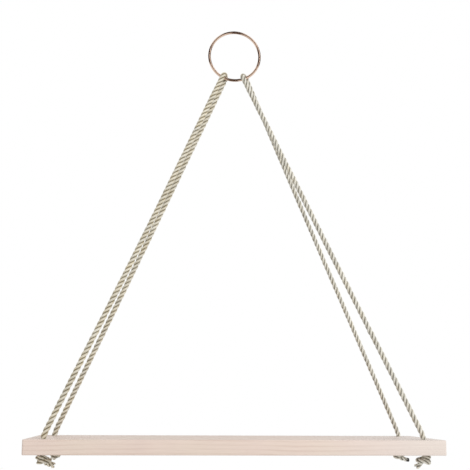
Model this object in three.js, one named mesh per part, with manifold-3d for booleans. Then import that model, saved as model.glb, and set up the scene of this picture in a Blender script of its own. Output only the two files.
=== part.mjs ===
// Hanging rope shelf: a drilled board on two ropes, each looped over the wire of one metal ring.
// Each rope is one length: knotted under a front hole, up, over the wire, down, knotted under a back hole.
// Millimetres, +Z up, +X to the viewer's right, +Y away from the viewer.
// The origin is the highest point inside the ring, which the shelf hangs from.
import * as THREE from 'three';
import Module from 'manifold-3d';
import { mergeVertices } from 'three/addons/utils/BufferGeometryUtils.js';

const wasm = await Module();
wasm.setup();

// Board
const boardLength = 420;
const boardDepth = 140;
const boardThickness = 15;
const boardCornerRadius = 2;
const boardEase = 0.8;
const holeInset = 18;
const holeClearance = 1.2;

// Ring
const wireDiameter = 3;
const ringInnerDiameter = 54;

// Ropes
const ropeDiameter = 5.5;
const ringCentreToBoard = 424;
const leftLoopSlant = 1.8;
const rightLoopSlant = 2.5;
const seatGap = 0.3;
const ropeBendHeight = 2;
const ropeBendReach = 7;

// Knots: pulled tight, which squeezes the rope thinner and presses its turns into each other
const knotRopeDiameter = 4.8;
const knotPressShare = 0.83;

// Facets
const ropeSides = 10;
const knotSides = 8;
const loopPoints = 12;
const loopSteps = 28;
const legSteps = 40;
const knotStretches = 4;
const stretchSteps = 13;
const stretchLapShare = 0.01;
const ringSections = 72;
const wireSides = 12;
const holeFacets = 12;
const easeFacets = 2;
const cutFacets = 96;
const weldShare = 0.001;

// Sizes that follow
const ropeRadius = ropeDiameter / 2;
const wireRadius = wireDiameter / 2;
const holeRadius = ropeRadius + holeClearance;
const ringRadius = ringInnerDiameter / 2 + wireRadius;
const ringCentreZ = -ringInnerDiameter / 2;
const boardTopZ = ringCentreZ - ringCentreToBoard;
const boardBottomZ = boardTopZ - boardThickness;
const holeX = boardLength / 2 - holeInset;
const holeY = boardDepth / 2 - holeInset;
const loopRadius = wireRadius + seatGap + ropeRadius;
// Each loop lies where the pull of its legs points straight away from the middle of the ring.
const loopAngle = Math.atan2(holeX, ringCentreToBoard);
const swingAxisZ = ringCentreZ - ringRadius * Math.cos(loopAngle);
const loopEndRadius = ropeDiameter * 2;
const knotRadius = knotRopeDiameter / 2;
const knotPitch = knotRopeDiameter * knotPressShare;

// The route of an overhand knot, in shares of the pitch between neighbouring turns.
// It starts where the rope comes down out of its hole, at the level of the knot's top turn.
const knotRouteShares = [
  [0, 0, 0],
  [0, 0, -0.4],
  [0, -0.08, -0.78],
  [-0.1, -0.42, -1.08],
  [-0.45, -0.78, -1.18],
  [-0.9, -0.7, -1.12],
  [-1.15, -0.2, -1.02],
  [-1.15, 0.5, -0.94],
  [-0.95, 1.25, -0.9],
  [-0.4, 1.8, -0.85],
  [0.35, 1.85, -0.76],
  [0.95, 1.35, -0.6],
  [1.14, 0.55, -0.46],
  [1, -0.3, -0.32],
  [0.6, -0.88, -0.18],
  [0, -1.08, -0.06],
  [-0.6, -0.88, 0],
  [-1.02, -0.3, 0],
  [-0.95, 0.35, 0],
  [-0.6, 0.85, -0.12],
  [-0.2, 1, -0.5],
  [-0.02, 0.98, -0.95],
  [0.15, 0.95, -1.3],
  [0.45, 1.05, -1.52],
];

// The way that the tail points in plan where it leaves the knot, in shares of its length.
const tailShares = [0.76, 0.62];

const { degToRad } = THREE.MathUtils;

// The four corners of the board: side is -1 on the left, depth is -1 at the front.
// hand tells how its knot is tied, turn swings the knot about its hole, and dropShare is how far its tail
// hangs, as a share of the tail's length.
const corners = [
  { name: 'front_left', side: -1, depth: -1, hand: -1, turn: degToRad(-90), tailLength: 10.5, dropShare: 0.2 },
  { name: 'back_left', side: -1, depth: 1, hand: -1, turn: degToRad(-20), tailLength: 2, dropShare: 0 },
  { name: 'front_right', side: 1, depth: -1, hand: 1, turn: degToRad(110), tailLength: 4.5, dropShare: 0.9 },
  { name: 'back_right', side: 1, depth: 1, hand: 1, turn: degToRad(-15), tailLength: 11.5, dropShare: 0.25 },
];

// Materials
const wood = new THREE.MeshStandardMaterial({ color: '#e2d1c4', roughness: 0.6, metalness: 0 });
const rope = new THREE.MeshStandardMaterial({ color: '#beb6a2', roughness: 0.9, metalness: 0 });
const roseGold = new THREE.MeshStandardMaterial({ color: '#c9a391', roughness: 0.2, metalness: 1 });

// A stretch of a curve, between two shares of its length.
class Stretch extends THREE.Curve {
  constructor(whole, start, end) {
    super();
    this.whole = whole;
    this.start = start;
    this.end = end;
  }

  getPoint(share, target) {
    return this.whole.getPointAt(THREE.MathUtils.lerp(this.start, this.end, share), target);
  }
}

// A closed polygon with its corners on a circle.
function roundSection(radius, sides) {
  const points = [];
  for (let i = 0; i < sides; i += 1) {
    const angle = (2 * Math.PI * i) / sides;
    points.push(new THREE.Vector2(radius * Math.cos(angle), radius * Math.sin(angle)));
  }
  return new THREE.Shape(points);
}

// A solid round bar that follows a curve, with a flat face at each end.
function bar(curve, radius, sides, steps) {
  return new THREE.ExtrudeGeometry(roundSection(radius, sides), {
    steps,
    bevelEnabled: false,
    extrudePath: curve,
  });
}

// A closed geometry as a solid that can be cut.
function solidOf(geometry) {
  const bare = new THREE.BufferGeometry();
  bare.setAttribute('position', geometry.getAttribute('position'));
  if (geometry.index) {
    bare.setIndex(geometry.index);
  }
  const merged = mergeVertices(bare, seatGap * weldShare);
  return new wasm.Manifold(new wasm.Mesh({
    numProp: 3,
    vertProperties: merged.attributes.position.array,
    triVerts: new Uint32Array(merged.index.array),
  }));
}

// A cut solid as a geometry again.
function geometryOf(solid) {
  const made = solid.getMesh();
  const geometry = new THREE.BufferGeometry();
  geometry.setAttribute('position', new THREE.BufferAttribute(made.vertProperties, made.numProp));
  geometry.setIndex(new THREE.BufferAttribute(made.triVerts, 1));
  geometry.computeVertexNormals();
  return geometry;
}

// A round bar along the axis that the shelf swings about, which sets where a rope's loop ends.
function swingCylinder(radius) {
  const geometry = new THREE.CylinderGeometry(radius, radius, ringInnerDiameter, cutFacets);
  geometry.rotateZ(Math.PI / 2);
  geometry.translate(0, 0, swingAxisZ);
  return solidOf(geometry);
}

// A point of the rope's centre line on the wire. wrap runs from -90 degrees at the wire's front,
// over its inner side, to 90 degrees at its back. Both loops slant the same way.
function loopPoint(side, wrap) {
  const slant = side < 0 ? leftLoopSlant : rightLoopSlant;
  const around = side * loopAngle + (slant / ringRadius) * Math.sin(wrap);
  const reach = ringRadius - loopRadius * Math.cos(wrap);
  return new THREE.Vector3(
    reach * Math.sin(around),
    loopRadius * Math.sin(wrap),
    ringCentreZ - reach * Math.cos(around),
  );
}

// Where a leg leaves the wire, and where its straight run would meet the axis of its hole.
function legEnds(corner) {
  const top = loopPoint(corner.side, (corner.depth * Math.PI) / 2);
  const bend = new THREE.Vector3(
    corner.side * holeX,
    corner.depth * holeY,
    boardTopZ + ropeBendHeight,
  );
  const along = bend.clone().sub(top).normalize();
  return { top, bend, along };
}

// The rope's turn over the wire, between the front and the back leg.
function ropeLoop(side) {
  const [front, back] = corners.filter((corner) => corner.side === side).map(legEnds);
  const points = [front.top.clone().addScaledVector(front.along, loopEndRadius)];
  for (let i = 0; i <= loopPoints; i += 1) {
    points.push(loopPoint(side, Math.PI * (i / loopPoints - 1 / 2)));
  }
  points.push(back.top.clone().addScaledVector(back.along, loopEndRadius));
  const whole = solidOf(bar(new THREE.CatmullRomCurve3(points), ropeRadius, ropeSides, loopSteps));
  return geometryOf(whole.intersect(swingCylinder(loopEndRadius)));
}

// One leg: straight down from the loop, then bent into its hole and through to the board's underside.
function ropeLeg(corner) {
  const { top, bend, along } = legEnds(corner);
  const bendStart = bend.clone().addScaledVector(along, -ropeBendReach);
  const bendEnd = bend.clone().setZ(bend.z - ropeBendReach);
  const holeEnd = bend.clone().setZ(boardBottomZ);
  const route = new THREE.CurvePath();
  route.add(new THREE.LineCurve3(top, bendStart));
  route.add(new THREE.QuadraticBezierCurve3(bendStart, bend, bendEnd));
  route.add(new THREE.LineCurve3(bendEnd, holeEnd));
  const whole = solidOf(bar(route, ropeRadius, ropeSides, legSteps));
  return geometryOf(whole.subtract(swingCylinder(loopEndRadius + seatGap)));
}

// The route of one knot and its short tail, below the underside of the board.
function knotRoute(corner) {
  const crestZ = -seatGap - knotRadius;
  const points = [new THREE.Vector3(0, 0, -seatGap)];
  for (const share of knotRouteShares) {
    const point = new THREE.Vector3(...share).multiplyScalar(knotPitch);
    points.push(point.setZ(point.z + crestZ));
  }
  const tail = new THREE.Vector3(...tailShares, -corner.dropShare).multiplyScalar(corner.tailLength);
  points.push(points[points.length - 1].clone().add(tail));
  for (const point of points) {
    point.x *= corner.hand;
  }
  return new THREE.CatmullRomCurve3(points, false, 'centripetal');
}

// An overhand knot, pulled up against the board's underside. Its turns press into each other, so it is
// built up from stretches of its route.
function knot(corner) {
  const route = knotRoute(corner);
  const stretches = [];
  for (let i = 0; i < knotStretches; i += 1) {
    const end = Math.min(1, (i + 1) / knotStretches + stretchLapShare);
    const stretch = new Stretch(route, i / knotStretches, end);
    stretches.push(solidOf(bar(stretch, knotRadius, knotSides, stretchSteps)));
  }
  return geometryOf(stretches.reduce((whole, stretch) => whole.add(stretch)));
}

// The board: edges eased all round, and a hole at each corner with its rims eased too.
function board() {
  const outline = new THREE.Shape();
  const x = boardLength / 2;
  const y = boardDepth / 2;
  const r = boardCornerRadius;
  outline.moveTo(r - x, -y);
  outline.lineTo(x - r, -y);
  outline.absarc(x - r, r - y, r, -Math.PI / 2, 0);
  outline.absarc(x - r, y - r, r, 0, Math.PI / 2);
  outline.absarc(r - x, y - r, r, Math.PI / 2, Math.PI);
  outline.absarc(r - x, r - y, r, Math.PI, (3 * Math.PI) / 2);
  for (const corner of corners) {
    const hole = new THREE.Path();
    hole.absarc(corner.side * holeX, corner.depth * holeY, holeRadius, 0, 2 * Math.PI);
    outline.holes.push(hole);
  }
  const geometry = new THREE.ExtrudeGeometry(outline, {
    depth: boardThickness - 2 * boardEase,
    steps: 1,
    curveSegments: holeFacets,
    bevelEnabled: true,
    bevelThickness: boardEase,
    bevelSize: boardEase,
    bevelOffset: -boardEase,
    bevelSegments: easeFacets,
  });
  geometry.translate(0, 0, boardEase);
  return geometry;
}

// The ring of bent and welded wire, standing in the plane of X and Z.
function ring() {
  return new THREE.TorusGeometry(ringRadius, wireRadius, wireSides, ringSections);
}

function named(name, geometry, material) {
  const mesh = new THREE.Mesh(geometry, material.clone());
  mesh.name = name;
  return mesh;
}

const shelf = new THREE.Group();

const ringMesh = named('hanging_ring', ring(), roseGold);
ringMesh.rotation.x = Math.PI / 2;
ringMesh.position.z = ringCentreZ;
shelf.add(ringMesh);

shelf.add(named('left_rope_loop', ropeLoop(-1), rope));
shelf.add(named('right_rope_loop', ropeLoop(1), rope));

const boardMesh = named('shelf_board', board(), wood);
boardMesh.position.z = boardBottomZ;
shelf.add(boardMesh);

for (const corner of corners) {
  shelf.add(named(`${corner.name}_rope_leg`, ropeLeg(corner), rope));
  const knotMesh = named(`${corner.name}_knot`, knot(corner), rope);
  knotMesh.position.set(corner.side * holeX, corner.depth * holeY, boardBottomZ);
  knotMesh.rotation.z = corner.turn;
  shelf.add(knotMesh);
}

export default shelf;
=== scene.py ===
"""Looks of a hanging rope shelf: a pine board on two hemp ropes that loop over a rose-gold ring.

Lengths are in metres, or in millimetres where a name ends in _mm. +Z is up, and the origin is the
highest point inside the ring.
"""

import logging
import math
from collections.abc import Sequence
from dataclasses import dataclass
from enum import Enum

import bpy
import numpy as np
from mathutils import Matrix, Vector


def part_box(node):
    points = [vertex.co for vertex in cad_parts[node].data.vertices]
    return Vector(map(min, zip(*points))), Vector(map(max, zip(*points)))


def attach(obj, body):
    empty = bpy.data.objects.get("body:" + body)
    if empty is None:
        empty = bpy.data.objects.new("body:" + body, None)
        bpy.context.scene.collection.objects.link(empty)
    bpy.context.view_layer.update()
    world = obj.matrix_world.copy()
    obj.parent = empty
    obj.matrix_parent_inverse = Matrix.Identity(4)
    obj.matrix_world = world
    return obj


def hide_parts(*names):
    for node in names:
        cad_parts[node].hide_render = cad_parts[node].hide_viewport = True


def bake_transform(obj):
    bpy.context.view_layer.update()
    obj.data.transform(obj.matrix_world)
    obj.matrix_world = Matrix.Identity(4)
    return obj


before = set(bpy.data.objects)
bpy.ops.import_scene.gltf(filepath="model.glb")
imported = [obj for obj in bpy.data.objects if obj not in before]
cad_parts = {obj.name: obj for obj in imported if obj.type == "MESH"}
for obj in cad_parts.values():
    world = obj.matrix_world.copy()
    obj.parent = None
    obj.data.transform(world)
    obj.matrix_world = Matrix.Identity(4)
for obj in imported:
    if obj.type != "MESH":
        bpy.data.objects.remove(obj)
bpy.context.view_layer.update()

log = logging.getLogger("rope_shelf")

MM = 0.001
PHOTO_PIXELS = 470
SENSOR_MM = 36.0
ROPE_RADIUS = 2.75 * MM
HOLE_CLEARANCE = 1.2 * MM


def linear(hex_colour: str) -> tuple[float, float, float, float]:
    """Turns an sRGB hex colour to the linear colour that a shader takes.

    Args:
        hex_colour: A colour such as "#e6d3bd".

    Returns:
        Linear red, green and blue, with an alpha of 1.
    """
    digits = hex_colour.lstrip("#")
    shares = [int(digits[i : i + 2], 16) / 255 for i in (0, 2, 4)]
    made = [c / 12.92 if c <= 0.04045 else ((c + 0.055) / 1.055) ** 2.4 for c in shares]
    return (*made, 1.0)


def set_inputs(node: bpy.types.Node, inputs: dict[str | int, object]) -> None:
    """Gives a node's input sockets their links and values.

    Args:
        node: The node.
        inputs: What each socket takes: a value, another node's socket, or a node for its first output.
    """
    for name, value in inputs.items():
        if isinstance(value, bpy.types.Node):
            value = value.outputs[0]
        if isinstance(value, bpy.types.NodeSocket):
            node.id_data.links.new(value, node.inputs[name])
        else:
            node.inputs[name].default_value = value


def add_node(
    tree: bpy.types.NodeTree,
    kind: str,
    inputs: dict[str | int, object] | None = None,
    stops: Sequence[tuple[float, str]] = (),
    **settings: object,
) -> bpy.types.Node:
    """Adds a node with its settings, its values and its links.

    Args:
        tree: The node tree that the node goes into.
        kind: The node's type without its "ShaderNode", such as "TexNoise".
        inputs: What its input sockets take, as set_inputs has them.
        stops: The stops of a colour ramp: each one's place from 0 to 1, and its hex colour.
        **settings: The node's own properties.

    Returns:
        The new node.
    """
    node = tree.nodes.new("ShaderNode" + kind)
    for name, value in settings.items():
        setattr(node, name, value)
    set_inputs(node, inputs or {})
    if stops:
        elements = node.color_ramp.elements
        while len(elements) < len(stops):
            elements.new(0.5)
        for element, (place, colour) in zip(elements, stops):
            element.position = place
            element.color = linear(colour)
    return node


def spans(source: Sequence[float], made: Sequence[float]) -> dict[str, float]:
    """Names the ends of a range, and of the range that it is turned to, as a node's sockets have them."""
    return dict(zip(("From Min", "From Max", "To Min", "To Max"), (*source, *made)))


def new_material(name: str) -> tuple[bpy.types.Material, bpy.types.NodeTree, bpy.types.Node]:
    """Makes an empty material with its shader.

    Args:
        name: The material's name.

    Returns:
        The material, its node tree and its Principled shader.
    """
    material = bpy.data.materials.new(name)
    material.use_nodes = True
    tree = material.node_tree
    tree.nodes.clear()
    shader = add_node(tree, "BsdfPrincipled")
    add_node(tree, "OutputMaterial", {"Surface": shader})
    return material, tree, shader


@dataclass(frozen=True)
class RoseGoldPlate:
    """Rose gold plated on polished steel wire: a warm pink mirror with faint polishing marks."""

    colour: str = "#dcc1ad"
    roughness: float = 0.19
    haze_shares: tuple[float, float] = (0.9, 1.2)
    mark_mm: float = 0.6
    mark_height_mm: float = 0.001
    mark_strength: float = 0.3

    def material(self) -> bpy.types.Material:
        """Builds the material.

        Returns:
            The material.
        """
        material, tree, shader = new_material("rose_gold_plated_steel")
        place = add_node(tree, "TexCoord").outputs["Object"]
        # Polishing leaves marks that are finer than a pixel, drawn here as coarse as they need to show.
        mark_scale = 1 / (self.mark_mm * MM)
        marks = add_node(tree, "TexNoise", {"Vector": place, "Scale": mark_scale, "Detail": 4.0})
        hazes = [self.roughness * share for share in self.haze_shares]
        bump = {"Strength": self.mark_strength, "Distance": self.mark_height_mm * MM}
        set_inputs(
            shader,
            {
                "Base Color": linear(self.colour),
                "Metallic": 1.0,
                "Roughness": add_node(tree, "MapRange", {"Value": marks, **spans((0, 1), hazes)}),
                "Normal": add_node(tree, "Bump", {"Height": marks, **bump}),
            },
        )
        return material


@dataclass(frozen=True)
class LaidHemp:
    """Three-strand hemp, spun and laid: matt straw-grey fibres, with painted warm shade in the grooves
    between the strands and yarns, and painted highlights on the strands' crowns.
    """

    painted_crown_highlight_colour: str = "#f2eddf"
    body_colour: str = "#bdb5a1"
    painted_groove_shade_colour: str = "#5f5642"
    body_place: float = 0.45
    warm_colour: str = "#b39a54"
    grey_colour: str = "#d3d3cd"
    tint_places: tuple[float, float] = (0.3, 0.9)
    tint_share: float = 0.35
    sealed_colour: str = "#120d09"
    painted_yarn_shade_levels: tuple[float, float] = (0.72, 1.04)
    fibre_width_mm: float = 0.12
    fibre_length_mm: float = 4.0
    fibre_height_mm: float = 0.06
    fibre_strength: float = 0.7
    fibre_span: tuple[float, float] = (0.25, 0.75)
    fibre_levels: tuple[float, float] = (0.8, 1.14)
    patch_mm: float = 14.0
    patch_span: tuple[float, float] = (0.3, 0.7)
    patch_levels: tuple[float, float] = (0.88, 1.1)
    strand_step: float = 7.0
    roughness: float = 0.85
    sheen: float = 0.25
    sheen_roughness: float = 0.5

    def material(self) -> bpy.types.Material:
        """Builds the material, which reads the painted shade and highlight, the tone, the char and the fibre
        direction from the rope's mesh.

        Returns:
            The material.
        """
        material, tree, shader = new_material("laid_hemp_rope")
        shade = add_node(tree, "Attribute", attribute_name="shade")
        lay = add_node(tree, "Attribute", attribute_name="lay")
        parts = add_node(tree, "SeparateColor", {"Color": shade.outputs["Color"]})
        crown, crest, tone = (parts.outputs[i] for i in range(3))
        # Spun fibres lie along each yarn, so the pattern is long along it and narrow across it. Single
        # fibres are finer than that, and are drawn here as coarse as they need to show.
        scale = (1 / self.fibre_length_mm, 1 / self.fibre_width_mm, self.strand_step)
        along = add_node(tree, "Mapping", {"Vector": lay.outputs["Vector"], "Scale": scale})
        fibres = add_node(tree, "TexNoise", {"Vector": along, "Scale": 1.0, "Detail": 3.0})
        place = add_node(tree, "TexCoord").outputs["Object"]
        patch_scale = 1 / (self.patch_mm * MM)
        patches = add_node(tree, "TexNoise", {"Vector": place, "Scale": patch_scale, "Detail": 2.0})
        # The ramp paints shade into the grooves between the strands and a highlight onto their crowns.
        depths = zip((0.0, self.body_place, 1.0), (self.painted_groove_shade_colour, self.body_colour, self.painted_crown_highlight_colour))
        depth = add_node(tree, "ValToRGB", {"Fac": crown}, tuple(depths))
        tints = tuple(zip(self.tint_places, (self.grey_colour, self.warm_colour)))
        tint = add_node(tree, "ValToRGB", {"Fac": tone}, tints)
        toned = add_node(tree, "Mix", {0: self.tint_share, 6: depth, 7: tint}, data_type="RGBA")
        # Painted shade: the valleys between the yarns are darkened.
        level = add_node(tree, "MapRange", {"Value": crest, **spans((0, 1), self.painted_yarn_shade_levels)})
        for value, span, levels in (
            (fibres, self.fibre_span, self.fibre_levels),
            (patches, self.patch_span, self.patch_levels),
        ):
            own = add_node(tree, "MapRange", {"Value": value, **spans(span, levels)})
            level = add_node(tree, "Math", {0: level, 1: own}, operation="MULTIPLY")
        shaded = add_node(
            tree, "VectorMath", {0: toned.outputs[2], "Scale": level}, operation="SCALE"
        )
        burnt = {0: shade.outputs["Alpha"], 6: shaded, 7: linear(self.sealed_colour)}
        bump = {"Strength": self.fibre_strength, "Distance": self.fibre_height_mm * MM}
        set_inputs(
            shader,
            {
                "Base Color": add_node(tree, "Mix", burnt, data_type="RGBA").outputs[2],
                "Roughness": self.roughness,
                "Sheen Weight": self.sheen,
                "Sheen Roughness": self.sheen_roughness,
                "Normal": add_node(tree, "Bump", {"Height": fibres, **bump}),
            },
        )
        return material


@dataclass(frozen=True)
class SandedPine:
    """Pine, sawn, planed and sanded without a finish: pale and matt, with faint growth rings and fibres."""

    early_colour: str = "#e1cfc3"
    late_colour: str = "#cbb3a5"
    pink_colour: str = "#e0cbc1"
    straw_colour: str = "#e0d0c1"
    hue_places: tuple[float, float] = (0.35, 0.65)
    hue_share: float = 0.45
    drift_mm: float = 70.0
    painted_cool_light_colour: str = "#dcd4ce"
    painted_cool_light_mm: tuple[float, float] = (40.0, 210.0)
    painted_cool_light_share: float = 0.6
    ring_mm: float = 2.9
    late_start: float = 0.55
    late_peak: float = 0.88
    pith_back_mm: float = 35.0
    pith_below_mm: float = 95.0
    wander_mm: float = 9.0
    wander_length_mm: float = 260.0
    wander_aspect: float = 3.0
    slow_growth_mm: float = 65.0
    growth_span: tuple[float, float] = (0.35, 0.65)
    growth_levels: tuple[float, float] = (0.15, 1.0)
    fibre_width_mm: float = 0.5
    fibre_length_mm: float = 22.0
    fibre_span: tuple[float, float] = (0.3, 0.7)
    fibre_levels: tuple[float, float] = (0.93, 1.03)
    pore_height_mm: float = 0.05
    pore_strength: float = 0.4
    roughness: float = 0.5
    ior: float = 1.45

    def material(self, board_middle: Vector) -> bpy.types.Material:
        """Builds the material: a solid of growth rings round a pith that lies below the board.

        Args:
            board_middle: The middle of the board.

        Returns:
            The material.
        """
        material, tree, shader = new_material("sanded_pine")
        place = add_node(tree, "TexCoord").outputs["Object"]
        rings = self._rings(tree, place, board_middle)
        drift_scale = 1 / (self.drift_mm * MM)
        drift = add_node(tree, "TexNoise", {"Vector": place, "Scale": drift_scale, "Detail": 1.0})
        hues = tuple(zip(self.hue_places, (self.pink_colour, self.straw_colour)))
        hue = add_node(tree, "ValToRGB", {"Fac": drift}, hues)
        toned = add_node(tree, "Mix", {0: self.hue_share, 6: rings, 7: hue}, data_type="RGBA")
        # Cooler and a little paler towards the right end: painted cool light from the right.
        rightwards = add_node(tree, "SeparateXYZ", {"Vector": place})
        ends = [board_middle.x + mm * MM for mm in self.painted_cool_light_mm]
        end_share = add_node(
            tree,
            "MapRange",
            {"Value": rightwards, **spans(ends, (0.0, self.painted_cool_light_share))},
            interpolation_type="SMOOTHSTEP",
        )
        ended = add_node(
            tree,
            "Mix",
            {0: end_share, 6: toned.outputs[2], 7: linear(self.painted_cool_light_colour)},
            data_type="RGBA",
        )
        # Pine's fibres are finer than a pixel, and are drawn here as coarse as they need to show.
        across = 1 / (self.fibre_width_mm * MM)
        scale = (1 / (self.fibre_length_mm * MM), across, across)
        along = add_node(tree, "Mapping", {"Vector": place, "Scale": scale})
        fibres = add_node(tree, "TexNoise", {"Vector": along, "Scale": 1.0, "Detail": 4.0})
        level = add_node(
            tree, "MapRange", {"Value": fibres, **spans(self.fibre_span, self.fibre_levels)}
        )
        bump = {"Strength": self.pore_strength, "Distance": self.pore_height_mm * MM}
        set_inputs(
            shader,
            {
                "Base Color": add_node(
                    tree, "VectorMath", {0: ended.outputs[2], "Scale": level}, operation="SCALE"
                ),
                "Roughness": self.roughness,
                "IOR": self.ior,
                "Normal": add_node(tree, "Bump", {"Height": fibres, **bump}),
            },
        )
        return material

    def _rings(
        self, tree: bpy.types.NodeTree, place: bpy.types.NodeSocket, board_middle: Vector
    ) -> bpy.types.NodeSocket:
        """Draws the growth rings, which wander a little along the trunk.

        Args:
            tree: The material's node tree.
            place: Where each point is.
            board_middle: The middle of the board.

        Returns:
            The colour of the early and late wood.
        """
        pith = board_middle + Vector((0.0, self.pith_back_mm, -self.pith_below_mm)) * MM
        from_pith = add_node(tree, "VectorMath", {0: place, 1: pith}, operation="SUBTRACT")
        across = add_node(tree, "VectorMath", {0: from_pith, 1: (0, 1, 1)}, operation="MULTIPLY")
        radius = add_node(tree, "VectorMath", {0: across}, operation="LENGTH").outputs["Value"]
        lengthways = 1 / (self.wander_length_mm * MM)
        crossways = self.wander_aspect / (self.wander_length_mm * MM)
        scale = (lengthways, crossways, crossways)
        slow = add_node(tree, "Mapping", {"Vector": place, "Scale": scale})
        wander = add_node(tree, "TexNoise", {"Vector": slow, "Scale": 1.0, "Detail": 2.0})
        moved = add_node(
            tree, "Math", {0: wander, 1: self.wander_mm * MM, 2: radius}, operation="MULTIPLY_ADD"
        )
        turns = add_node(tree, "Math", {0: moved, 1: self.ring_mm * MM}, operation="DIVIDE")
        phase = add_node(tree, "Math", {0: turns}, operation="FRACT")
        places = (0.0, self.late_start, self.late_peak, 1.0)
        shares = ("#000000", "#000000", "#ffffff", "#000000")
        late = add_node(tree, "ValToRGB", {"Fac": phase}, tuple(zip(places, shares)))
        # Years of slow growth leave fainter rings, so the rings come and go across the board.
        year_scale = self.wander_length_mm / self.slow_growth_mm
        years = add_node(tree, "TexNoise", {"Vector": slow, "Scale": year_scale, "Detail": 1.0})
        growth = add_node(
            tree, "MapRange", {"Value": years, **spans(self.growth_span, self.growth_levels)}
        )
        drawn = add_node(tree, "Math", {0: late, 1: growth}, operation="MULTIPLY")
        woods = {6: linear(self.early_colour), 7: linear(self.late_colour)}
        return add_node(tree, "Mix", {0: drawn, **woods}, data_type="RGBA").outputs[2]


@dataclass(frozen=True)
class PaleFloor:
    """A seamless paper floor: matt and near white, fading into the white round it, clear from below."""

    colour: str = "#fbfbfa"
    clear_radius: float = 0.9
    fade_radius: float = 1.6

    def material(self) -> bpy.types.Material:
        """Builds the material, which turns see-through towards the floor's rim.

        Returns:
            The material.
        """
        material, tree, shader = new_material("seamless_paper")
        place = add_node(tree, "TexCoord").outputs["Object"]
        reach = add_node(tree, "VectorMath", {0: place}, operation="LENGTH").outputs["Value"]
        radii = (self.clear_radius, self.fade_radius)
        paper = add_node(
            tree,
            "MapRange",
            {"Value": reach, **spans(radii, (1.0, 0.0))},
            interpolation_type="SMOOTHSTEP",
        )
        # A look from below the floor goes through it, so that it doesn't hide the knots.
        below = add_node(tree, "NewGeometry").outputs["Backfacing"]
        solid = add_node(tree, "Math", {0: paper, 1: below}, operation="SUBTRACT", use_clamp=True)
        set_inputs(
            shader,
            {
                "Base Color": linear(self.colour),
                "Roughness": 1.0,
                "Specular IOR Level": 0.0,
                "Alpha": solid,
            },
        )
        return material


@dataclass(frozen=True)
class PaintedDarkReflection:
    """Dark brown sheet with a faint weave, seen only in mirrors: painted dark reflections for polished metal
    beside the white.
    """

    colour: str = "#412b1c"
    thread_colour: str = "#4e3623"
    weave_mm: float = 3.0
    thread_places: tuple[float, float] = (0.3, 0.7)

    def material(self) -> bpy.types.Material:
        """Builds the material.

        Returns:
            The material.
        """
        material, tree, shader = new_material("painted_dark_reflection")
        place = add_node(tree, "TexCoord").outputs["Object"]
        # The threads are drawn coarse, as the ring mirrors them small.
        weave = add_node(tree, "TexNoise", {"Vector": place, "Scale": 1 / (self.weave_mm * MM)})
        threads = tuple(zip(self.thread_places, (self.colour, self.thread_colour)))
        shade = add_node(tree, "ValToRGB", {"Fac": weave}, threads)
        set_inputs(shader, {"Base Color": shade, "Roughness": 1.0, "Specular IOR Level": 0.0})
        return material


def add_object(name: str, data: bpy.types.ID) -> bpy.types.Object:
    """Adds an object to the scene.

    Args:
        name: The object's name.
        data: Its mesh, curve, camera or light.

    Returns:
        The object.
    """
    made = bpy.data.objects.new(name, data)
    bpy.context.scene.collection.objects.link(made)
    return made


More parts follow.
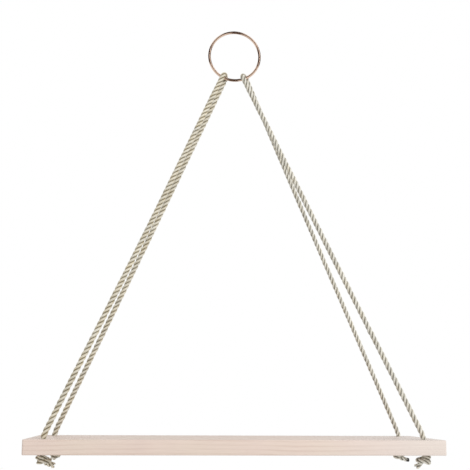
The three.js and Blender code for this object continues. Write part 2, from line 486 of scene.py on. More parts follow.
class MeshMaker:
    """Gathers the vertices, faces and rope attributes of one mesh."""

    def __init__(self) -> None:
        """Starts with nothing in the mesh."""
        self.vertices: list[np.ndarray] = []
        self.quads: list[np.ndarray] = []
        self.triangles: list[np.ndarray] = []
        self.lay: list[np.ndarray] = []
        self.shade: list[np.ndarray] = []
        self.count = 0

    def add_tube(
        self,
        rings: np.ndarray,
        lay: np.ndarray | None = None,
        shade: np.ndarray | None = None,
        closed: bool = False,
    ) -> None:
        """Adds a tube through rings of points, with a cap at each end unless it closes on itself.

        Args:
            rings: The points, as rings by points by 3, in metres.
            lay: The fibre coordinates of each point, of the same shape.
            shade: The shade values of each point, as rings by points by 4.
            closed: Whether the last ring joins the first.
        """
        rows, columns = rings.shape[:2]
        point = np.arange(columns)
        beside = np.roll(point, -1)
        here = np.arange(rows if closed else rows - 1)[:, None]
        beyond = (here + 1) % rows
        corners = ((here, point), (here, beside), (beyond, beside), (beyond, point))
        quads = np.stack([self.count + row * columns + column for row, column in corners], axis=-1)
        self.quads.append(quads.reshape(-1, 4))
        lay = np.zeros((rows, columns, 3)) if lay is None else lay
        shade = np.ones((rows, columns, 4)) if shade is None else shade
        caps = () if closed else ((0, beside, point), (rows - 1, point, beside))
        for gathered, values in ((self.vertices, rings), (self.lay, lay), (self.shade, shade)):
            gathered.append(values.reshape(rows * columns, -1))
            gathered.extend(values[row].mean(axis=0)[None] for row, _, _ in caps)
        for tip, (row, first, second) in enumerate(caps, self.count + rows * columns):
            rim = self.count + row * columns
            fan = [rim + first, rim + second, np.full(columns, tip)]
            self.triangles.append(np.stack(fan, axis=-1))
        self.count += rows * columns + len(caps)

    def build(self, name: str, material: bpy.types.Material) -> bpy.types.Object:
        """Makes the object, shaded smooth.

        Args:
            name: The object's name.
            material: Its material.

        Returns:
            The object, linked to the scene.
        """
        mesh = bpy.data.meshes.new(name)
        vertices = np.concatenate(self.vertices).astype(np.float32)
        quads = np.concatenate(self.quads).astype(np.int32)
        triangles = np.concatenate([np.empty((0, 3)), *self.triangles]).astype(np.int32)
        corners = np.concatenate([quads.ravel(), triangles.ravel()])
        after_quads = len(quads) * 4 + np.arange(len(triangles)) * 3
        starts = np.concatenate([np.arange(len(quads)) * 4, after_quads])
        mesh.vertices.add(len(vertices))
        mesh.vertices.foreach_set("co", vertices.ravel())
        mesh.loops.add(len(corners))
        mesh.loops.foreach_set("vertex_index", corners)
        mesh.polygons.add(len(starts))
        mesh.polygons.foreach_set("loop_start", starts.astype(np.int32))
        mesh.polygons.foreach_set("use_smooth", np.ones(len(starts), dtype=bool))
        lay = mesh.attributes.new("lay", "FLOAT_VECTOR", "POINT")
        lay.data.foreach_set("vector", np.concatenate(self.lay).astype(np.float32).ravel())
        shade = mesh.attributes.new("shade", "FLOAT_COLOR", "POINT")
        shade.data.foreach_set("color", np.concatenate(self.shade).astype(np.float32).ravel())
        mesh.update(calc_edges=True)
        mesh.validate()
        mesh.materials.append(material)
        return add_object(name, mesh)


def unit(vectors: np.ndarray) -> np.ndarray:
    """Scales each vector to a length of 1."""
    return vectors / np.linalg.norm(vectors, axis=-1, keepdims=True)


def weigh(
    first: np.ndarray, last: np.ndarray, start: float, end: float, time: np.ndarray
) -> np.ndarray:
    """Weighs two points by where each time lies from start to end."""
    return (end - time) / (end - start) * first + (time - start) / (end - start) * last


def path_through(points: Sequence[Sequence[float]], per_span: int = 16) -> np.ndarray:
    """Draws a smooth centripetal curve through points.

    Args:
        points: The points that the curve goes through.
        per_span: How many points to draw between two of them.

    Returns:
        The points of the curve.
    """
    given = np.array(points, dtype=float)
    first, last = 2 * given[0] - given[1], 2 * given[-1] - given[-2]
    knots = np.concatenate([[first], given, [last]])
    drawn = []
    for i in range(1, len(knots) - 2):
        near = knots[i - 1 : i + 3]
        steps = [np.linalg.norm(step) ** 0.5 for step in np.diff(near, axis=0)]
        times = np.cumsum([0.0, *steps])
        time = np.linspace(times[1], times[2], per_span, endpoint=False)[:, None]
        # Each round weighs neighbours into one fewer, by the times that they reach from and to.
        for starts, ends in ((times[:3], times[1:]), (times[:2], times[2:]), (times[1:2], times[2:3])):
            pairs = zip(near, near[1:], starts, ends)
            near = [weigh(first, last, start, end, time) for first, last, start, end in pairs]
        drawn.append(near[0])
    return np.concatenate([*drawn, given[-1:]])


def lengths_along(points: np.ndarray) -> np.ndarray:
    """Gives each point's distance along its path."""
    steps = np.linalg.norm(np.diff(points, axis=0), axis=1)
    return np.concatenate([[0.0], np.cumsum(steps)])


def points_at(points: np.ndarray, places: np.ndarray) -> np.ndarray:
    """Finds the points of a path at given distances along it.

    Args:
        points: The path.
        places: The distances.

    Returns:
        One point for each distance.
    """
    along = lengths_along(points)
    return np.stack([np.interp(places, along, points[:, k]) for k in range(3)], axis=1)


def smoothstep(low: float, high: float, value: np.ndarray) -> np.ndarray:
    """Rises smoothly from 0 at low to 1 at high."""
    share = np.clip((value - low) / (high - low), 0.0, 1.0)
    return share * share * (3 - 2 * share)


@dataclass(frozen=True)
class Line:
    """A smooth line through space, with cross-section axes that don't turn about it."""

    places: np.ndarray
    points: np.ndarray
    ahead: np.ndarray
    first: np.ndarray
    second: np.ndarray

    @classmethod
    def along(cls, route: np.ndarray, places: np.ndarray) -> "Line":
        """Takes sections of a route.

        Args:
            route: The route's points.
            places: How far along it each section is.

        Returns:
            The line.
        """
        points = points_at(route, places)
        ahead = unit(np.gradient(points, axis=0))
        first = np.empty_like(points)
        side = np.array([1.0, 0.0, 0.0])
        for i, tangent in enumerate(ahead):
            side = side - tangent * np.dot(side, tangent)
            side = side / np.linalg.norm(side)
            first[i] = side
        return cls(places, points, ahead, first, np.cross(ahead, first))

    def outward(self, angle: np.ndarray) -> np.ndarray:
        """Finds the direction square to the line at an angle, for each section."""
        return np.cos(angle)[:, None] * self.first + np.sin(angle)[:, None] * self.second

    def beside(self, angle: np.ndarray, reach: np.ndarray) -> "Line":
        """Draws a line beside this one, whose first axis points away from it.

        Args:
            angle: The angle about this line at which it runs, for each section.
            reach: How far from this line it runs, for each section.

        Returns:
            The other line.
        """
        out = self.outward(angle)
        points = self.points + out * reach[:, None]
        ahead = unit(np.gradient(points, axis=0))
        first = unit(out - ahead * np.sum(out * ahead, axis=1, keepdims=True))
        return Line(self.places, points, ahead, first, np.cross(ahead, first))

    def part(self, chosen: np.ndarray) -> "Line":
        """Keeps only the chosen sections."""
        fields = (self.places, self.points, self.ahead, self.first, self.second)
        return Line(*(values[chosen] for values in fields))

    def tube(self, angles: np.ndarray, radii: np.ndarray) -> np.ndarray:
        """Draws rings of points round the line.

        Args:
            angles: The angle of each point, as sections by points.
            radii: Its distance from the line, of the same shape.

        Returns:
            The points, as sections by points by 3.
        """
        across = (radii * np.cos(angles))[..., None] * self.first[:, None]
        return self.points[:, None] + across + (radii * np.sin(angles))[..., None] * self.second[:, None]


class RopeEnd(Enum):
    """How a rope's tail ends below its knot."""

    FRAYED = "strands and yarns come apart"
    CUT = "cut square and a little loose"
    SEALED = "burnt and pressed together"


@dataclass(frozen=True)
class EndStyle:
    """The sizes of one way of ending a rope.

    opening is how far the strands part, as a share of the rope's radius, and flare how far the yarns do,
    as a share of the strand's.
    """

    opening: float
    opening_length: float
    flare: float
    loose_length: float
    burnt_length: float


END_STYLES = {
    RopeEnd.FRAYED: EndStyle(0.24, 9 * MM, 0.5, 3.5 * MM, 0.0),
    RopeEnd.CUT: EndStyle(0.25, 6 * MM, 0.6, 2.5 * MM, 0.0),
    RopeEnd.SEALED: EndStyle(0.0, 1 * MM, 0.0, 0.0, 6.5 * MM),
}


@dataclass(frozen=True)
class Corner:
    """One corner of the board, the leg of rope above it and the knot under it.

    side and depth are -1 or 1: left or right, and front or back. hand tells how the knot is tied, turn
    swings it about its hole, and drop_share is how far its tail hangs, as a share of the tail's length.
    The leg hangs out of straight by the sag, and is a little thicker or thinner than the rope's mean,
    because a soft rope is uneven.
    """

    name: str
    side: int
    depth: int
    hand: int
    turn_degrees: float
    tail_mm: float
    drop_share: float
    end: RopeEnd
    sag_mm: float
    thickness_share: float


# The same knot route as the solids have, in shares of the pitch between neighbouring turns.
KNOT_ROUTE_SHARES = (
    (0, 0, 0),
    (0, 0, -0.4),
    (0, -0.08, -0.78),
    (-0.1, -0.42, -1.08),
    (-0.45, -0.78, -1.18),
    (-0.9, -0.7, -1.12),
    (-1.15, -0.2, -1.02),
    (-1.15, 0.5, -0.94),
    (-0.95, 1.25, -0.9),
    (-0.4, 1.8, -0.85),
    (0.35, 1.85, -0.76),
    (0.95, 1.35, -0.6),
    (1.14, 0.55, -0.46),
    (1, -0.3, -0.32),
    (0.6, -0.88, -0.18),
    (0, -1.08, -0.06),
    (-0.6, -0.88, 0),
    (-1.02, -0.3, 0),
    (-0.95, 0.35, 0),
    (-0.6, 0.85, -0.12),
    (-0.2, 1, -0.5),
    (-0.02, 0.98, -0.95),
    (0.15, 0.95, -1.3),
    (0.45, 1.05, -1.52),
)
TAIL_SHARES = (0.76, 0.62)


@dataclass(frozen=True)
class Ring:
    """The ring of bent and welded wire that the shelf hangs on."""

    centre: Vector
    radius: float
    wire_radius: float
    finish: RoseGoldPlate = RoseGoldPlate()
    sections: int = 160
    wire_sides: int = 28

    @classmethod
    def from_frame(cls) -> "Ring":
        """Takes the ring's sizes from its solid.

        Returns:
            The ring.
        """
        low, high = (Vector(corner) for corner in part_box("hanging_ring"))
        wire_radius = (high.y - low.y) / 2
        return cls((low + high) / 2, (high.x - low.x) / 2 - wire_radius, wire_radius)

    def build(self) -> bpy.types.Object:
        """Builds the ring as one closed tube.

        Returns:
            The ring, which stands for its solid.
        """
        around = np.linspace(0, 2 * math.pi, self.sections, endpoint=False)[:, None]
        across = np.linspace(0, 2 * math.pi, self.wire_sides, endpoint=False)[None]
        reach = self.radius + self.wire_radius * np.cos(across)
        forwards = self.wire_radius * np.sin(across) + 0 * around
        rings = np.stack([reach * np.sin(around), forwards, reach * np.cos(around)], axis=-1)
        maker = MeshMaker()
        maker.add_tube(rings + np.array(self.centre), closed=True)
        made = maker.build("rose_gold_ring", self.finish.material())
        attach(made, "ring")
        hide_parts("hanging_ring")
        return made


@dataclass(frozen=True)
class Board:
    """The drilled board, with its edges and hole rims eased by sanding."""

    low: Vector
    high: Vector
    corners: tuple[Corner, ...]
    finish: SandedPine = SandedPine()
    hole_radius: float = ROPE_RADIUS + HOLE_CLEARANCE
    hole_inset: float = 18 * MM
    corner_radius: float = 2 * MM
    ease: float = 0.8 * MM
    hole_points: int = 48
    corner_points: int = 8
    ease_segments: int = 3
    sharp_degrees: float = 35.0

    @classmethod
    def from_frame(cls, corners: tuple[Corner, ...]) -> "Board":
        """Takes the board's size and place from its solid."""
        low, high = (Vector(corner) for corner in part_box("shelf_board"))
        return cls(low, high, corners)

    def hole_centre(self, corner: Corner) -> Vector:
        """Finds the middle of a hole at the board's top.

        Args:
            corner: The corner that the hole is at.

        Returns:
            The middle of the hole's upper rim.
        """
        middle, half = (self.low + self.high) / 2, (self.high - self.low) / 2
        x = middle.x + corner.side * (half.x - self.hole_inset)
        y = middle.y + corner.depth * (half.y - self.hole_inset)
        return Vector((x, y, self.high.z))

    def _outline(self) -> list[tuple[float, float]]:
        """Draws the board's outline, with its corners rounded.

        Returns:
            Its points, anticlockwise.
        """
        points = []
        middle = (self.low + self.high) / 2
        half = (self.high - self.low) / 2 - Vector((self.corner_radius, self.corner_radius, 0))
        for x, y, first in ((1, -1, -90), (1, 1, 0), (-1, 1, 90), (-1, -1, 180)):
            for i in range(self.corner_points + 1):
                angle = math.radians(first + 90 * i / self.corner_points)
                across = middle.x + x * half.x + self.corner_radius * math.cos(angle)
                back = middle.y + y * half.y + self.corner_radius * math.sin(angle)
                points.append((across, back))
        return points

    def _hole(self, corner: Corner) -> list[tuple[float, float]]:
        """Draws the outline of one hole.

        Args:
            corner: The corner that the hole is at.

        Returns:
            Its points, clockwise.
        """
        centre = self.hole_centre(corner)
        angles = np.linspace(0, -2 * math.pi, self.hole_points, endpoint=False)
        return [
            (centre.x + self.hole_radius * math.cos(a), centre.y + self.hole_radius * math.sin(a))
            for a in angles
        ]

    def build(self) -> bpy.types.Object:
        """Builds the board from its outline and its holes, with every edge eased.

        Returns:
            The board, which stands for its solid.
        """
        curve = bpy.data.curves.new("board_outline", "CURVE")
        curve.dimensions = "2D"
        curve.fill_mode = "BOTH"
        curve.extrude = (self.high.z - self.low.z) / 2 - self.ease
        curve.bevel_depth = self.ease
        curve.bevel_resolution = self.ease_segments
        curve.offset = -self.ease
        for outline in (self._outline(), *(self._hole(corner) for corner in self.corners)):
            spline = curve.splines.new("POLY")
            spline.points.add(len(outline) - 1)
            for point, (x, y) in zip(spline.points, outline):
                point.co = (x, y, 0.0, 1.0)
            spline.use_cyclic_u = True
        source = add_object("board_outline", curve)
        shaped = source.evaluated_get(bpy.context.evaluated_depsgraph_get())
        mesh = bpy.data.meshes.new_from_object(shaped)
        bpy.data.objects.remove(source)
        mesh.name = "pine_board"
        mesh.transform(Matrix.Translation((0.0, 0.0, (self.low.z + self.high.z) / 2)))
        mesh.polygons.foreach_set("use_smooth", np.ones(len(mesh.polygons), dtype=bool))
        mesh.set_sharp_from_angle(angle=math.radians(self.sharp_degrees))
        mesh.materials.clear()
        mesh.materials.append(self.finish.material((self.low + self.high) / 2))
        made = add_object("pine_board", mesh)
        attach(made, "hanger")
        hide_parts("shelf_board")
        return made


@dataclass(frozen=True)
class LooseYarns:
    """The sizes of the yarns that come apart at a rope's end: one in the middle and the rest round it.

    Each yarn is a third as thick as its strand, times the thickness share.
    """

    around: int = 6
    sides: int = 8
    thickness_share: float = 1.1
    uneven_share: float = 0.3
    stray_share: float = 0.45
    blunt_length: float = 0.1 * MM
    tip_length: float = 0.4 * MM
    thinnest_share: float = 0.1
    # Loose yarns that face the rope's middle get painted shade, those that face out the painted highlight.
    crown_middle: float = 0.35
    crown_swing: float = 0.6
    crown_least: float = 0.1
    tone_share: float = 0.7


@dataclass(frozen=True)
class StrayFibres:
    """The sizes of the fine fibres that stand off a rope, each of which starts inside it and bends out."""

    count: int = 420
    lengths: tuple[float, float] = (1.2 * MM, 4.2 * MM)
    radius: float = 0.05 * MM
    root_share: float = 0.86
    lifts: tuple[float, float] = (0.15, 0.8)
    lift_power: float = 1.6
    sway: float = 0.4
    taper_start: float = 1.1
    sides: int = 3
    sections: int = 5
    clear_sections: int = 4
    # Stray fibres take a colour near the crowns' painted highlight.
    crown: float = 0.9
    tone: float = 0.4


@dataclass(frozen=True)
class Rope:
    """One length of three-strand rope: knot, leg, loop over the ring's wire, leg, knot."""

    name: str
    front: Corner
    back: Corner
    ring: Ring
    board: Board
    material: bpy.types.Material
    warmth: float
    loop_slant: float
    seed: int
    loose: LooseYarns = LooseYarns()
    stray: StrayFibres = StrayFibres()
    radius: float = ROPE_RADIUS
    knot_radius: float = 2.4 * MM
    knot_press_share: float = 0.83
    loop_press_share: float = 0.86
    seat_gap: float = 0.3 * MM
    bend_height: float = 2 * MM
    bend_reach: float = 7 * MM
    bend_points: int = 24
    leg_points: int = 48
    loop_points: int = 48
    smoothing_passes: int = 6
    lay_length: float = 17.7 * MM
    strands: int = 3
    strand_share: float = 0.53
    strand_press_share: float = 1.04
    swell_share: float = 0.045
    yarns: int = 8
    points_per_yarn: int = 3
    yarn_depth_share: float = 0.1
    # Where the grooves' painted shade turns into the crowns' painted highlight, as cosines of the angle out
    # from the rope's middle.
    crown_cosines: tuple[float, float] = (-0.05, 0.95)
    tone_share: float = 0.35
    warmth_share: float = 0.3
    tip_share: float = 0.05
    fused_share: float = 0.55
    bead_share: float = 0.4
    long_step: float = 1.0 * MM
    short_step: float = 0.5 * MM
    close_length: float = 30 * MM
    squeeze_length: float = 8 * MM
    bend_above_axis: float = 3 * MM
    bend_below_axis: float = 21 * MM

    def _loop_point(self, wrap: float) -> np.ndarray:
        """Finds a point of the rope's centre line on the wire.

        Args:
            wrap: The angle round the wire, from -90 degrees at its front to 90 at its back.

        Returns:
            The point.
        """
        pressed = (self.seat_gap + (1 - self.loop_press_share) * self.radius) * math.cos(wrap)
        reach = self.ring.wire_radius + self.seat_gap + self.radius - pressed
        hole = self.board.hole_centre(self.front)
        around = math.atan2(hole.x, self.ring.centre.z - hole.z)
        around += self.loop_slant / self.ring.radius * math.sin(wrap)
        out = self.ring.radius - reach * math.cos(wrap)
        height = self.ring.centre.z - out * math.cos(around)
        return np.array([out * math.sin(around), reach * math.sin(wrap), height])

    def _leg(self, corner: Corner) -> np.ndarray:
        """Draws the route from the wire down to the underside of the board.

        Args:
            corner: The corner that the leg goes to.

        Returns:
            The route's points, from the top.
        """
        top = self._loop_point(corner.depth * math.pi / 2)
        bend = np.array(self.board.hole_centre(corner)) + [0.0, 0.0, self.bend_height]
        ahead = unit(bend - top)
        start = bend - ahead * self.bend_reach
        end = bend - np.array([0.0, 0.0, self.bend_reach])
        share = np.linspace(0, 1, self.leg_points, endpoint=False)[:, None]
        sideways = unit(ahead * ahead[2] - [0.0, 0.0, 1.0])
        sag = corner.sag_mm * MM * np.sin(math.pi * share) ** 2
        hanging = top + share * (start - top) + sag * sideways
        share = np.linspace(0, 1, self.bend_points)[:, None]
        curve = (1 - share) ** 2 * start + 2 * share * (1 - share) * bend + share**2 * end
        bottom = np.array([[bend[0], bend[1], self.board.low.z]])
        return np.concatenate([hanging, curve, bottom])

    def _knot(self, corner: Corner) -> np.ndarray:
        """Draws the route of the knot below one corner, down to the end of its tail.

        Args:
            corner: The corner.

        Returns:
            The route's points, from the board's underside.
        """
        pitch = 2 * self.knot_radius * self.knot_press_share
        points = np.array(KNOT_ROUTE_SHARES, dtype=float) * pitch
        points[:, 2] -= self.seat_gap + self.knot_radius
        tail = points[-1] + np.array([*TAIL_SHARES, -corner.drop_share]) * corner.tail_mm * MM
        points = np.concatenate([[[0.0, 0.0, -self.seat_gap]], points, [tail]])
        points[:, 0] *= corner.hand
        turn = Matrix.Rotation(math.radians(corner.turn_degrees), 3, "Z")
        hole = self.board.hole_centre(corner)
        return path_through(points) @ np.array(turn).T + [hole.x, hole.y, self.board.low.z]

    def _route(self) -> tuple[np.ndarray, float, float]:
        """Draws the whole rope's centre line.

        Returns:
            The points, and how far along them the front and the back knot meet the board.
        """
        wraps = np.linspace(-math.pi / 2, math.pi / 2, self.loop_points)[1:-1]
        loop = np.array([self._loop_point(wrap) for wrap in wraps])
        front_knot, back_knot = self._knot(self.front)[::-1], self._knot(self.back)
        front_leg, back_leg = self._leg(self.front)[::-1], self._leg(self.back)
        rough = np.concatenate([front_knot, front_leg, loop, back_leg, back_knot])
        even = points_at(rough, np.arange(0, lengths_along(rough)[-1], self.short_step / 2))
        for _ in range(self.smoothing_passes):
            even[1:-1] = (even[:-2] + 2 * even[1:-1] + even[2:]) / 4
        back_end = lengths_along(even)[-1] - lengths_along(back_knot)[-1]
        return even, lengths_along(front_knot)[-1], back_end

    def _places(self, total: float, front_end: float, back_end: float) -> np.ndarray:
        """Spaces the rope's sections: close in the knots and the loop, wide along the legs.

        Args:
            total: The rope's length.
            front_end: How far along it the front knot ends.
            back_end: How far along it the back knot starts.

        Returns:
            How far along the rope each section is.
        """
        middle = (front_end + back_end) / 2
        near = self.close_length
        marks = [0.0, front_end + near, middle - near, middle + near, back_end - near, total]
        steps = [self.short_step, self.long_step] * 2 + [self.short_step]
        parts = [
            np.linspace(low, high, round((high - low) / step), endpoint=False)
            for low, high, step in zip(marks, marks[1:], steps)
        ]
        return np.concatenate([*parts, [total]])

    def _radii(self, places: np.ndarray, front_end: float, back_end: float) -> np.ndarray:
        """Finds how thick the rope is: squeezed in its knots and on the wire, and uneven between.

        Args:
            places: How far along the rope each section is.
            front_end: How far along it the front knot ends.
            back_end: How far along it the back knot starts.

        Returns:
            The rope's radius at each section.
        """
        half = self.squeeze_length / 2
        in_front = smoothstep(front_end + half, front_end - half, places)
        in_back = smoothstep(back_end - half, back_end + half, places)
        squeezed = np.maximum(in_front, in_back)
        middle = (front_end + back_end) / 2
        from_wire = np.abs(places - middle)
        on_wire = smoothstep(self.squeeze_length, 0.0, from_wire)
        leg = np.where(places < middle, self.front.thickness_share, self.back.thickness_share)
        radius = self.radius * (1 + (leg - 1) * smoothstep(0.0, self.close_length, from_wire))
        radius = radius + (self.knot_radius - radius) * squeezed
        return radius * (1 - (1 - self.loop_press_share) * on_wire)

    def build(self) -> bpy.types.Object:
        """Builds the rope as strands of spun yarns, with its loose ends and stray fibres.

        Returns:
            The rope, which stands for the solids along it.
        """
        rng = np.random.default_rng(self.seed)
        route, front_end, back_end = self._route()
        total = lengths_along(route)[-1]
        line = Line.along(route, self._places(total, front_end, back_end))
        radius = self._radii(line.places, front_end, back_end)
        from_ends = (line.places, total - line.places)
        maker = MeshMaker()
        for strand in range(self.strands):
            self._add_strand(maker, rng, strand, line, radius, from_ends)
        self._add_stray_fibres(maker, rng, line, radius)
        made = maker.build(self.name, self.material)
        swing = self._loop_point(math.pi / 2)[2]
        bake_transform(made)
        parts = [f"{c.name}_{part}" for c in (self.front, self.back) for part in ("rope_leg", "knot")]
        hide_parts(f"{self.name}_loop", *parts)
        log.info("%s is %.0f mm long", self.name, total / MM)
        return made

    def _add_strand(
        self,
        maker: MeshMaker,
        rng: np.random.Generator,
        strand: int,
        line: Line,
        radius: np.ndarray,
        from_ends: tuple[np.ndarray, np.ndarray],
    ) -> None:
        """Adds one strand, whose section shows its yarns, and the loose yarns at its ends.

        Args:
            maker: The mesh that the strand goes into.
            rng: The source of its small differences.
            strand: Which strand it is.
            line: The rope's centre line.
            radius: The rope's radius at each section.
            from_ends: Each section's distance from the rope's front end and back end.
        """
        styles = [END_STYLES[corner.end] for corner in (self.front, self.back)]
        opening = sum(
            style.opening * smoothstep(style.opening_length, 0.0, distance)
            for style, distance in zip(styles, from_ends)
        )
        burnt = sum(
            smoothstep(style.burnt_length, style.burnt_length / 2, distance)
            for style, distance in zip(styles, from_ends)
            if style.burnt_length
        ) + np.zeros_like(radius)
        turn = 2 * math.pi * (line.places / self.lay_length + strand / self.strands)
        reach = radius * (self.strand_share + opening) * (1 - self.fused_share * burnt)
        middle = line.beside(turn, reach)
        # The yarns are spun against the lay, so they come to lie along the rope.
        spin = -2 * turn
        marks = np.arange(0, line.places[-1] + self.lay_length, self.lay_length / 2)
        swell = 1 + self.swell_share * np.interp(line.places, marks, rng.normal(size=len(marks)))
        size = radius * (1 - self.strand_share) * self.strand_press_share * swell
        size = size * (1 + self.bead_share * burnt)
        slow_tone = np.interp(line.places, marks, rng.uniform(size=len(marks)))
        tones = np.repeat(rng.uniform(size=self.yarns), self.points_per_yarn)
        tip = np.minimum(from_ends[0], from_ends[1])
        rounded = size * np.sqrt(np.clip(2 * tip / size, self.tip_share, 1.0))

        count = self.yarns * self.points_per_yarn
        around = np.linspace(0, 2 * math.pi, count, endpoint=False)
        # The first point of each yarn is its valley, which the material darkens as painted shade.
        crest = np.where(np.arange(count) % self.points_per_yarn == 0, 0.0, 1.0)
        angles = around[None] + spin[:, None]
        radii = rounded[:, None] * (1 - self.yarn_depth_share * (1 - crest))[None]
        tone = self.tone_share * slow_tone[:, None] + self.tone_share * tones[None]
        # crown runs from the groove between the strands to their crown, and sets the painted shade and
        # highlight.
        crown = smoothstep(*self.crown_cosines, np.cos(angles))
        shade = self._shade(crown, crest[None], tone, burnt[:, None])
        lay = self._lay(line.places, around * self.radius / 2, strand)
        whole = (from_ends[0] >= styles[0].loose_length) & (from_ends[1] >= styles[1].loose_length)
        maker.add_tube(middle.tube(angles, radii)[whole], lay[whole], shade[whole])
        for style, distance in zip(styles, from_ends):
            if style.loose_length:
                self._add_loose_yarns(maker, rng, strand, middle, spin, size, style, distance)

    def _add_loose_yarns(
        self,
        maker: MeshMaker,
        rng: np.random.Generator,
        strand: int,
        middle: Line,
        spin: np.ndarray,
        size: np.ndarray,
        style: EndStyle,
        distance: np.ndarray,
    ) -> None:
        """Adds the yarns of one strand where they come apart at one end of the rope.

        Args:
            maker: The mesh that the yarns go into.
            rng: The source of their small differences.
            strand: Which strand it is.
            middle: The strand's centre line.
            spin: The angle of the strand's yarns at each section.
            size: The strand's radius at each section.
            style: How the rope ends.
            distance: Each section's distance from this end.
        """
        loose = self.loose
        sides = np.linspace(0, 2 * math.pi, loose.sides, endpoint=False)
        for yarn in range(loose.around + 1):
            cut = rng.uniform(0, loose.uneven_share) * style.loose_length
            near = (distance < style.loose_length + self.short_step) & (distance >= cut)
            part = middle.part(near)
            share = 1 - np.clip(distance[near] / style.loose_length, 0, 1)
            yarn_size = size[near] / 3 * loose.thickness_share
            reach = size[near] * 2 / 3 * (1 + style.flare * share**2) * (yarn < loose.around)
            angle = 2 * math.pi * yarn / loose.around + spin[near]
            stray_reach = style.flare * size[near] * loose.stray_share * share**2
            strayed = rng.normal(size=3) * stray_reach[:, None]
            own = part.beside(angle, reach)
            own = Line(own.places, own.points + strayed, own.ahead, own.first, own.second)
            tip = (distance[near] - cut + loose.blunt_length) / loose.tip_length
            radii = yarn_size * np.sqrt(np.clip(tip, loose.thinnest_share, 1.0))
            angles = np.broadcast_to(sides[None], (len(share), len(sides)))
            # Painted shade on the yarns that face the rope's middle, painted highlight on those that face
            # out.
            lit = loose.crown_middle + loose.crown_swing * np.cos(angle)
            crown = np.clip(lit, loose.crown_least, 1.0)[:, None] + 0.0 * angles
            tone = np.full_like(angles, loose.tone_share * rng.uniform())
            shade = self._shade(crown, 1.0, tone, 0.0)
            lay = self._lay(own.places, sides * yarn_size.mean(), strand + yarn / self.yarns)
            maker.add_tube(own.tube(angles, radii[:, None] + 0.0 * angles), lay, shade)

    def _shade(
        self,
        crown: np.ndarray,
        crest: np.ndarray | float,
        tone: np.ndarray,
        burnt: np.ndarray | float,
    ) -> np.ndarray:
        """Packs what the rope's material reads at each point.

        Args:
            crown: How far out of the groove between the strands it is, which sets its painted shade and
                highlight.
            crest: How far out of the groove between the yarns it is, which sets its painted shade.
            tone: Its share of the yarns' own differences in colour.
            burnt: How far it is burnt.

        Returns:
            The values, as sections by points by 4.
        """
        # warmth tints each rope as a whole: the right rope's grey is painted cool light from the right.
        values = np.broadcast_arrays(crown, crest, tone + self.warmth_share * self.warmth, burnt)
        return np.stack([np.clip(value, 0, 1) for value in values], axis=-1)

    def _lay(self, places: np.ndarray, around: np.ndarray, strand: float) -> np.ndarray:
        """Packs the fibre coordinates of each point, in millimetres.

        Args:
            places: How far along the rope each section is.
            around: How far round the strand each point is.
            strand: A number that keeps the strands' patterns apart.

        Returns:
            The coordinates, as sections by points by 3.
        """
        values = np.broadcast_arrays(places[:, None] / MM, around[None] / MM, float(strand))
        return np.stack(values, axis=-1)

    def _add_stray_fibres(
        self,
        maker: MeshMaker,
        rng: np.random.Generator,
        line: Line,
        radius: np.ndarray,
    ) -> None:
        """Adds the fine fibres that stand off the rope.

        Args:
            maker: The mesh that the fibres go into.
            rng: The source of their places and shapes.
            line: The rope's centre line.
            radius: The rope's radius at each section.
        """
        stray = self.stray
        sides = np.linspace(0, 2 * math.pi, stray.sides, endpoint=False)
        share = np.linspace(0, 1, stray.sections)[:, None]
        tone = np.full((stray.sections, stray.sides), stray.tone)
        shade = self._shade(stray.crown, 1.0, tone, 0.0)
        for _ in range(stray.count):
            i = rng.integers(stray.clear_sections, len(radius) - stray.clear_sections)
            angle = rng.uniform(0, 2 * math.pi)
            out = math.cos(angle) * line.first[i] + math.sin(angle) * line.second[i]
            way = rng.choice([-1.0, 1.0]) * line.ahead[i]
            square = np.cross(out, way)
            length = rng.uniform(*stray.lengths)
            lift, sway = rng.uniform(*stray.lifts), rng.normal(scale=stray.sway)
            bent = share * way + lift * share**stray.lift_power * out + sway * share**2 * square
            spine = line.points[i] + out * radius[i] * stray.root_share + length * bent
            section = np.cos(sides)[:, None] * out + np.sin(sides)[:, None] * square
            taper = stray.radius * (stray.taper_start - share)[..., None]
            maker.add_tube(spine[:, None] + taper * section[None], shade=shade)


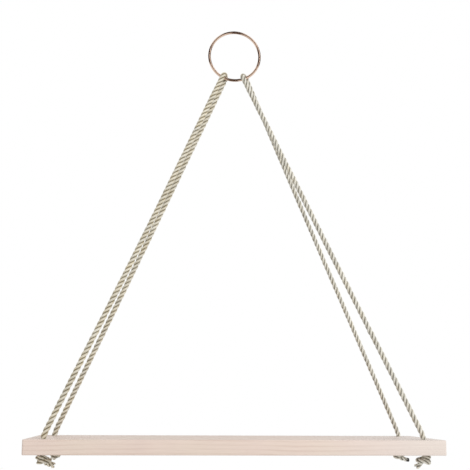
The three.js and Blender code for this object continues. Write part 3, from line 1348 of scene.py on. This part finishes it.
@dataclass(frozen=True)
class Studio:
    """The pale floor, the soft light and the camera, which was fitted to the photograph."""

    floor_level: float = -0.62
    floor_radius: float = 1.7
    floor_points: int = 96
    camera_place: tuple[float, float, float] = (-0.0792, -1.0230, -0.4174)
    pan: float = 0.0788
    tilt: float = 0.1776
    roll: float = 0.0051
    focal_pixels: float = 948.8
    ambient: float = 0.62
    key_place: tuple[float, float, float] = (1.1, -1.7, 0.9)
    key_size: float = 1.2
    key_power: float = 30.0
    target: tuple[float, float, float] = (0.0, 0.0, -0.3)
    flag_radius: float = 0.56
    level_dark_reflection_half_width: float = 0.25
    level_dark_reflection_rise: float = 0.25
    upright_dark_reflection_half_width: float = 0.14
    flag_end_degrees: float = 135.0
    flag_steps: int = 36
    finish: PaleFloor = PaleFloor()
    flag_finish: PaintedDarkReflection = PaintedDarkReflection()

    def build_camera(self) -> None:
        """Places the camera where the photograph was taken from."""
        data = bpy.data.cameras.new("camera")
        data.sensor_width = SENSOR_MM
        data.lens = self.focal_pixels / PHOTO_PIXELS * SENSOR_MM
        level = Vector((math.cos(self.pan), -math.sin(self.pan), 0.0))
        forwards = Vector((math.sin(self.pan), math.cos(self.pan), 0.0))
        ahead = math.cos(self.tilt) * forwards + math.sin(self.tilt) * Vector((0.0, 0.0, 1.0))
        upright = level.cross(ahead)
        right = math.cos(self.roll) * level + math.sin(self.roll) * upright
        up = math.cos(self.roll) * upright - math.sin(self.roll) * level
        camera = add_object("camera", data)
        turned = Matrix((right, up, -ahead)).transposed().to_4x4()
        camera.matrix_world = Matrix.Translation(self.camera_place) @ turned
        bpy.context.scene.camera = camera

    def build_world(self) -> None:
        """Makes the even light of the room, which the camera and shiny metal see as white."""
        world = bpy.data.worlds.new("white_room")
        bpy.context.scene.world = world
        world.use_nodes = True
        tree = world.node_tree
        tree.nodes.clear()
        path = add_node(tree, "LightPath")
        seen = path.outputs["Is Camera Ray"]
        for kind in ("Is Glossy Ray", "Is Transmission Ray"):
            seen = add_node(tree, "Math", {0: seen, 1: path.outputs[kind]}, operation="MAXIMUM")
        rooms = [
            add_node(tree, "Background", {"Color": linear("#ffffff"), "Strength": strength})
            for strength in (self.ambient, 1.0)
        ]
        mixed = add_node(tree, "MixShader", {0: seen, 1: rooms[0], 2: rooms[1]})
        add_node(tree, "OutputWorld", {"Surface": mixed})

    def build_light(self) -> None:
        """Adds the soft light from the front right."""
        data = bpy.data.lights.new("soft_light", "AREA")
        data.shape = "DISK"
        data.size = self.key_size
        data.energy = self.key_power
        lamp = add_object("soft_light", data)
        lamp.location = self.key_place
        towards = Vector(self.target) - Vector(self.key_place)
        lamp.rotation_mode = "QUATERNION"
        lamp.rotation_quaternion = towards.to_track_quat("-Z", "Y")

    def build_floor(self) -> None:
        """Lays the round floor below the shelf."""
        mesh = bpy.data.meshes.new("paper_floor")
        angles = np.linspace(0, 2 * math.pi, self.floor_points, endpoint=False)
        rim = [(self.floor_radius * math.cos(a), self.floor_radius * math.sin(a), 0) for a in angles]
        mesh.from_pydata(rim, [], [list(range(len(rim)))])
        mesh.materials.append(self.finish.material())
        floor = add_object("paper_floor", mesh)
        floor.location = (0.0, 0.0, self.floor_level)

    def build_flags(self, middle: Vector) -> None:
        """Stands two dark bands round the ring, which only polished metal shows: painted dark reflections
        that cast no shade.

        Args:
            middle: The middle of the ring.
        """
        material = self.flag_finish.material()
        ends = math.radians(self.flag_end_degrees)
        right, front, up = Vector((1, 0, 0)), Vector((0, -1, 0)), Vector((0, 0, 1))
        raised = middle + self.level_dark_reflection_rise * up
        for name, centre, out, half_width in (
            ("level_dark_reflection", raised, right, self.level_dark_reflection_half_width * up),
            ("upright_dark_reflection", middle, up, self.upright_dark_reflection_half_width * right),
        ):
            spine = [
                centre + self.flag_radius * (math.sin(a) * out + math.cos(a) * front)
                for a in np.linspace(-ends, ends, self.flag_steps)
            ]
            edges = [point + side * half_width for point in spine for side in (-1, 1)]
            faces = [(2 * i, 2 * i + 1, 2 * i + 3, 2 * i + 2) for i in range(len(spine) - 1)]
            mesh = bpy.data.meshes.new(name)
            mesh.from_pydata(edges, [], faces)
            mesh.materials.append(material)
            flag = add_object(name, mesh)
            # Only mirror rays see the bands, so they paint dark reflections and block no light.
            for rays in ("camera", "diffuse", "shadow", "transmission"):
                setattr(flag, f"visible_{rays}", False)

    def build(self, ring_middle: Vector) -> None:
        """Builds the whole studio.

        Args:
            ring_middle: The middle of the ring, which the flags stand round.
        """
        self.build_camera()
        self.build_world()
        self.build_light()
        self.build_floor()
        self.build_flags(ring_middle)
        bpy.context.scene.view_settings.view_transform = "Standard"


FRONT_LEFT = Corner(
    "front_left",
    side=-1,
    depth=-1,
    hand=-1,
    turn_degrees=-90,
    tail_mm=10.5,
    drop_share=0.2,
    end=RopeEnd.FRAYED,
    sag_mm=1.3,
    thickness_share=1.07,
)
BACK_LEFT = Corner(
    "back_left",
    side=-1,
    depth=1,
    hand=-1,
    turn_degrees=-20,
    tail_mm=2,
    drop_share=0,
    end=RopeEnd.CUT,
    sag_mm=0.5,
    thickness_share=1.05,
)
FRONT_RIGHT = Corner(
    "front_right",
    side=1,
    depth=-1,
    hand=1,
    turn_degrees=110,
    tail_mm=4.5,
    drop_share=0.9,
    end=RopeEnd.CUT,
    sag_mm=0.4,
    thickness_share=1.02,
)
BACK_RIGHT = Corner(
    "back_right",
    side=1,
    depth=1,
    hand=1,
    turn_degrees=-15,
    tail_mm=11.5,
    drop_share=0.25,
    end=RopeEnd.SEALED,
    sag_mm=0.4,
    thickness_share=0.92,
)


def main() -> None:
    """Builds the studio and the shelf, and reports each piece."""
    logging.basicConfig(level=logging.INFO, format="%(message)s")
    ring = Ring.from_frame()
    Studio().build(ring.centre)
    board = Board.from_frame((FRONT_LEFT, BACK_LEFT, FRONT_RIGHT, BACK_RIGHT))
    hemp = LaidHemp().material()
    # The left rope is warmer and the right one greyer: painted cool light from the right.
    ropes = (
        ("left_rope", FRONT_LEFT, BACK_LEFT, 1.0, 1.8 * MM, 7),
        ("right_rope", FRONT_RIGHT, BACK_RIGHT, 0.0, 2.5 * MM, 11),
    )
    pieces = [
        Rope(name, front, back, ring, board, hemp, warmth=warmth, loop_slant=slant, seed=seed)
        for name, front, back, warmth, slant, seed in ropes
    ]
    for piece in (*pieces, ring, board):
        made = piece.build()
        log.info("%s: %d faces", made.name, len(made.data.polygons))


if __name__ == "__main__":
    main()
